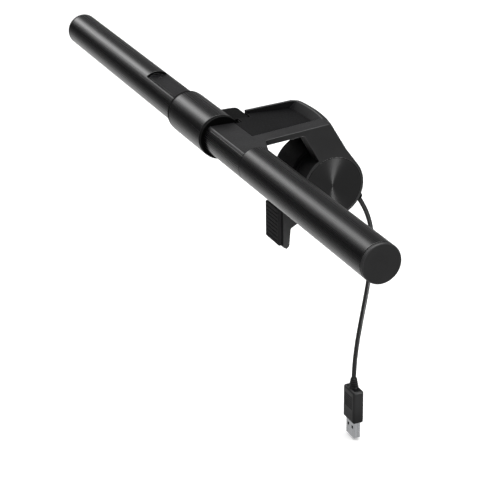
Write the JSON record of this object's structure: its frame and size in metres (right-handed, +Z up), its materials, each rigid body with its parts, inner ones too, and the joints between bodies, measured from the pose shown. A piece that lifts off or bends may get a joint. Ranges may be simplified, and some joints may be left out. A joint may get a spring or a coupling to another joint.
{
  "type": "monitor light bar",
  "caption": "Round lamp tube that tilts in a hub, on an arm that hooks over a screen's top edge, held by a sprung counterweight jaw behind the screen.",
  "frame": {"origin": "underside of the seat pad, where it rests on the screen's top edge, under the middle of the arm and the middle of the screen gap", "axes": "+X along the lamp tube, to the right seen from the screen's front; +Y behind the screen; +Z up"},
  "size_m": [0.5, 0.1086, 0.2334],
  "materials": {
    "anodised_black": "satin black anodised extrusion",
    "cap_grey": "matte moulded",
    "arm_grey": "fine matte moulded",
    "neck_black": "matte moulded",
    "tray_rubber": "fine matte rubber",
    "ring_black": "matte black",
    "pad_rubber": "soft matte rubber",
    "barrel_grey": "satin painted",
    "drum_disc": "radially brushed, dark anodised",
    "jaw_black": "matte moulded",
    "lip_steel": "satin black sheet",
    "touch_black": "finely textured",
    "sensor_smoke": "smoked",
    "board_green": "solder mask",
    "board_white": "white solder mask",
    "led_phosphor": "phosphor",
    "reflector_white": "bright white",
    "diffuser_opal": "opal, lightly frosted",
    "core_aluminium": "drawn tube",
    "bush_polymer": "bearing polymer",
    "bright_steel": "turned",
    "weight_iron": "cast",
    "lead_red": "insulation",
    "cable_black": "satin sheath",
    "usb_plate": "plated"
  },
  "bodies": {
    "clamp": {"arm_frame": "arm_grey", "saddle_collar": "anodised_black", "hub_sleeve": "anodised_black", "hub_ring_left": "ring_black", "hub_ring_right": "ring_black", "friction_bush_left": "bush_polymer", "friction_bush_right": "bush_polymer", "stop_ring": "bright_steel", "wave_washer": "bright_steel", "hub_neck": "neck_black", "tray_mat": "tray_rubber", "underside_cover": "neck_black", "rear_cover": "arm_grey", "cover_screws": "bright_steel", "arm_lead": "lead_red", "front_lip": "lip_steel", "lip_pad": "pad_rubber", "seat_pad": "pad_rubber", "drum_cap": "drum_disc", "pivot_shaft": "bright_steel", "shaft_clip": "bright_steel", "cable_grommet": "ring_black", "cable": "cable_black", "usb_plug": "cable_black", "usb_shell": "usb_plate"},
    "lamp": {"tube_shell_left": "anodised_black", "tube_shell_right": "anodised_black", "end_cap_left": "cap_grey", "end_cap_right": "cap_grey", "core_tube": "core_aluminium", "core_plug_left": "core_aluminium", "core_plug_right": "core_aluminium", "plug_screws": "bright_steel", "touch_panel": "touch_black", "touch_board": "board_green", "sensor_lens": "sensor_smoke", "led_board_left": "board_white", "led_board_right": "board_white", "leds": "led_phosphor", "reflector_left": "reflector_white", "reflector_right": "reflector_white", "diffuser_left": "diffuser_opal", "diffuser_right": "diffuser_opal", "stop_pin": "bright_steel", "lamp_leads": "lead_red"},
    "counterweight": {"barrel_shell": "barrel_grey", "barrel_cap": "barrel_grey", "barrel_bushes": "bush_polymer", "weight_slug": "weight_iron", "torsion_spring": "bright_steel", "jaw": "jaw_black", "jaw_pad": "pad_rubber", "jaw_screws": "bright_steel"}
  },
  "joints": [
    {"name": "lamp_tilt", "type": "hinge", "parent": "clamp", "child": "lamp", "pos_m": [-0.04, -0.0225, 0], "axis": [1, 0, 0], "range_deg": [-20, 20]},
    {"name": "jaw_swing", "type": "hinge", "parent": "clamp", "child": "counterweight", "pos_m": [0, 0.038, -0.0293], "axis": [1, 0, 0], "range_deg": [-14, 28]}
  ]
}
